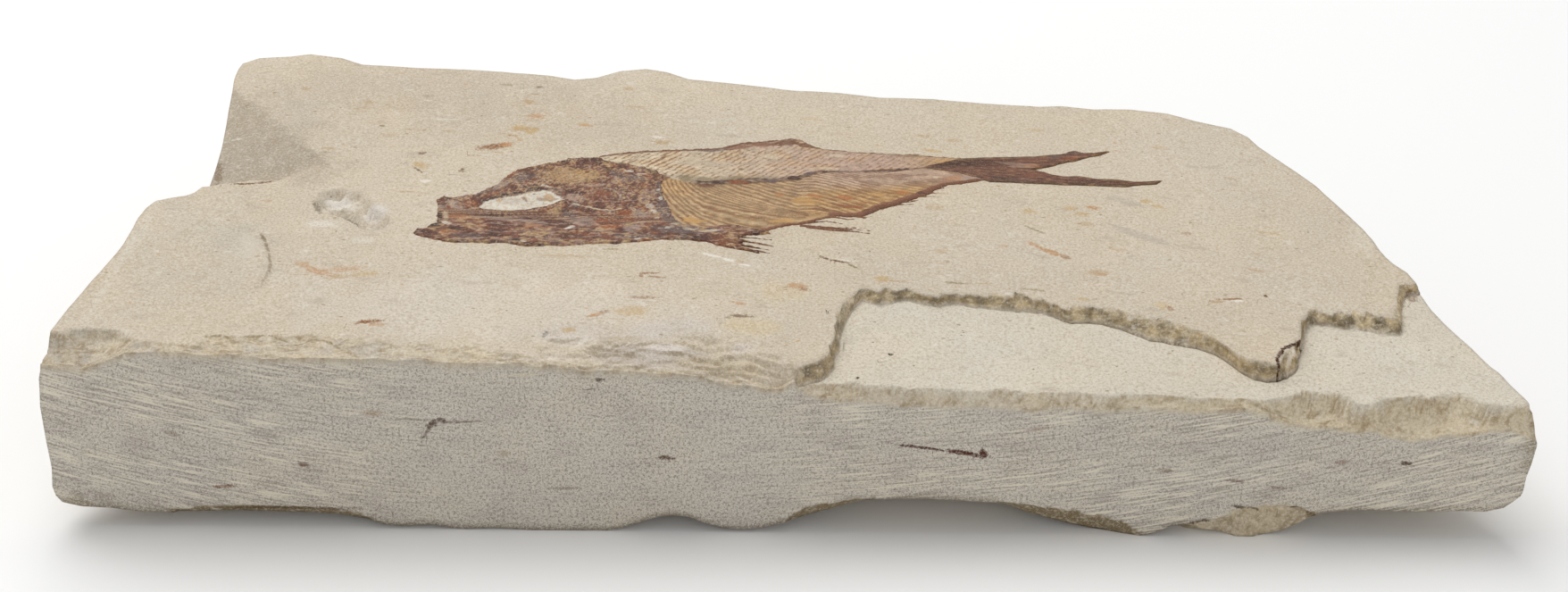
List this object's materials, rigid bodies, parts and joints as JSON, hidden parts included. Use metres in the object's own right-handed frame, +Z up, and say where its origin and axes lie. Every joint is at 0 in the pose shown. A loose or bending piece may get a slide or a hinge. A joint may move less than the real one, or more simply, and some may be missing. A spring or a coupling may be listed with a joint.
{
  "type": "fossil fish slab",
  "caption": "Pale limestone slab with a sawn front edge, broken sides and a stepped upper face, on which a small bony fossil fish lies flat.",
  "frame": {"origin": "on the ground under the middle of the slab's box", "axes": "+X along the sawn edge, from the fish's head towards its tail; +Y back from the sawn face; +Z up, away from the surface it rests on"},
  "size_m": [0.199, 0.0914, 0.0288],
  "materials": {
    "limestone": "matt bedded limestone, warm beige on the bedding face and grey where sawn",
    "fossil_bone": "dark red-brown bone film, faintly satin"
  },
  "bodies": {
    "root": {"stone_slab": "limestone", "fossil_fish": "fossil_bone"}
  },
  "joints": []
}
